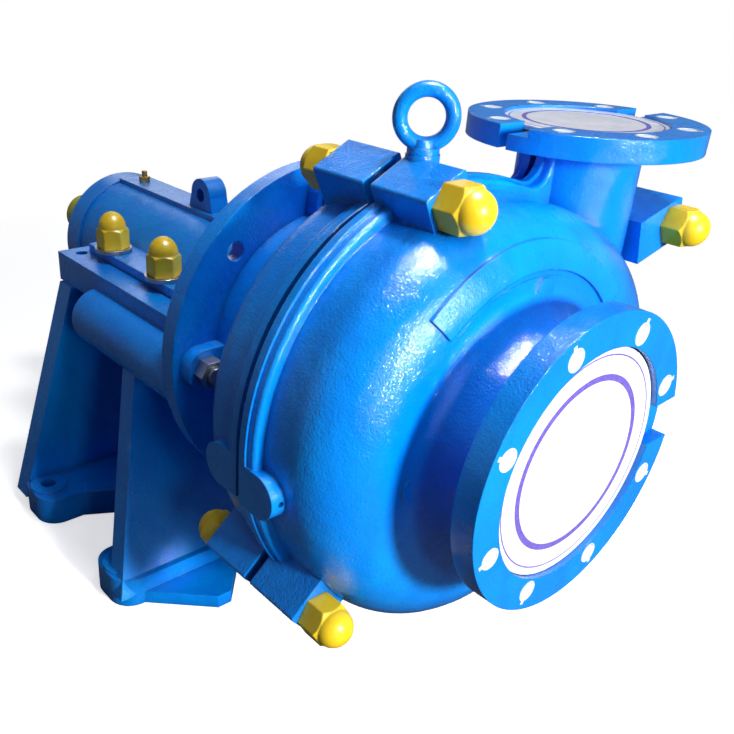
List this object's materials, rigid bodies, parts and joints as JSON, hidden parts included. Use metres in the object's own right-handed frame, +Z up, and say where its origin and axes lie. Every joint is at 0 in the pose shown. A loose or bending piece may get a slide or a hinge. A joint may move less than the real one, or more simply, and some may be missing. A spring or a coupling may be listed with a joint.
{
  "type": "horizontal slurry pump",
  "caption": "Horizontal centrifugal slurry pump with a split volute casing, flanged suction and discharge, a bearing cartridge in a cast base and a keyed bare shaft end.",
  "frame": {"origin": "centre of the four foot holes, on the underside of the base", "axes": "+X along the shaft towards the suction flange, +Y towards the discharge side, +Z up"},
  "size_m": [1.01, 0.6271, 0.651],
  "materials": {
    "blue_enamel": "gloss enamel",
    "yellow_cap": "gloss moulded plastic",
    "anti_rust_shaft": "brushed yellow anti-rust coat over turned steel",
    "white_board": "gloss printed board",
    "zinc_steel": "zinc plated",
    "machined_steel": "turned and ground",
    "hard_iron": "as cast, high chrome iron",
    "black_rubber": "matt",
    "grey_packing": "greased braid",
    "brass": "turned"
  },
  "bodies": {
    "frame": {"base": "blue_enamel", "frame_plate": "blue_enamel", "cover_plate": "blue_enamel", "frame_plate_liner": "black_rubber", "cover_plate_liner": "black_rubber", "back_liner": "black_rubber", "throat_bush": "black_rubber", "stuffing_box": "hard_iron", "stuffing_box_screws": "zinc_steel", "gland_packing": "grey_packing", "lantern_ring": "brass", "gland": "hard_iron", "gland_studs": "zinc_steel", "gland_nuts": "zinc_steel", "casing_studs": "zinc_steel", "casing_nuts": "zinc_steel", "front_nut_caps": "yellow_cap", "rear_nut_caps": "yellow_cap", "ring_studs": "zinc_steel", "ring_nuts": "zinc_steel", "clamp_studs": "zinc_steel", "clamp_washers": "zinc_steel", "clamp_nuts": "zinc_steel", "clamp_nut_caps": "yellow_cap", "adjusting_screw": "zinc_steel", "eye_bolt": "blue_enamel", "suction_joint_ring": "black_rubber", "discharge_joint_ring": "black_rubber"},
    "bearing_cartridge": {"bearing_housing": "blue_enamel", "grease_nipples": "brass", "end_cover_drive_end": "blue_enamel", "end_cover_pump_end": "blue_enamel", "end_cover_screws_drive_end": "zinc_steel", "end_cover_screws_pump_end": "zinc_steel", "bearing_outer_ring_drive_end": "machined_steel", "bearing_outer_ring_pump_end": "machined_steel", "adjusting_nuts": "zinc_steel"},
    "rotor": {"shaft": "anti_rust_shaft", "drive_key": "anti_rust_shaft", "shaft_spacer": "machined_steel", "shaft_sleeve": "machined_steel", "impeller": "hard_iron", "bearing_inner_ring_drive_end": "machined_steel", "bearing_inner_ring_pump_end": "machined_steel", "labyrinth_drive_end": "machined_steel", "labyrinth_pump_end": "machined_steel"},
    "suction_cover_body": {"suction_cover": "white_board"},
    "discharge_cover_body": {"discharge_cover": "white_board"},
    "drive_end_rollers": {"bearing_rollers_drive_end": "machined_steel"},
    "pump_end_rollers": {"bearing_rollers_pump_end": "machined_steel"}
  },
  "joints": [
    {"name": "cartridge_slide", "type": "slide", "parent": "frame", "child": "bearing_cartridge", "axis": [1, 0, 0], "range_m": [-0.0015, 0.0015]},
    {"name": "shaft_turn", "type": "hinge", "parent": "bearing_cartridge", "child": "rotor", "pos_m": [0, 0, 0.335], "axis": [1, 0, 0], "continuous": true},
    {"name": "drive_end_roller_turn", "type": "hinge", "parent": "bearing_cartridge", "child": "drive_end_rollers", "pos_m": [0, 0, 0.335], "axis": [1, 0, 0], "continuous": true},
    {"name": "pump_end_roller_turn", "type": "hinge", "parent": "bearing_cartridge", "child": "pump_end_rollers", "pos_m": [0, 0, 0.335], "axis": [1, 0, 0], "continuous": true},
    {"name": "suction_cover_pull", "type": "slide", "parent": "frame", "child": "suction_cover_body", "axis": [1, 0, 0], "range_m": [0, 0.05]},
    {"name": "discharge_cover_lift", "type": "slide", "parent": "frame", "child": "discharge_cover_body", "axis": [0, 0, 1], "range_m": [0, 0.05]}
  ],
  "couplings": [
    {"joint": "drive_end_roller_turn", "follows": "shaft_turn", "ratio": 0.4404},
    {"joint": "pump_end_roller_turn", "follows": "shaft_turn", "ratio": 0.4404}
  ]
}
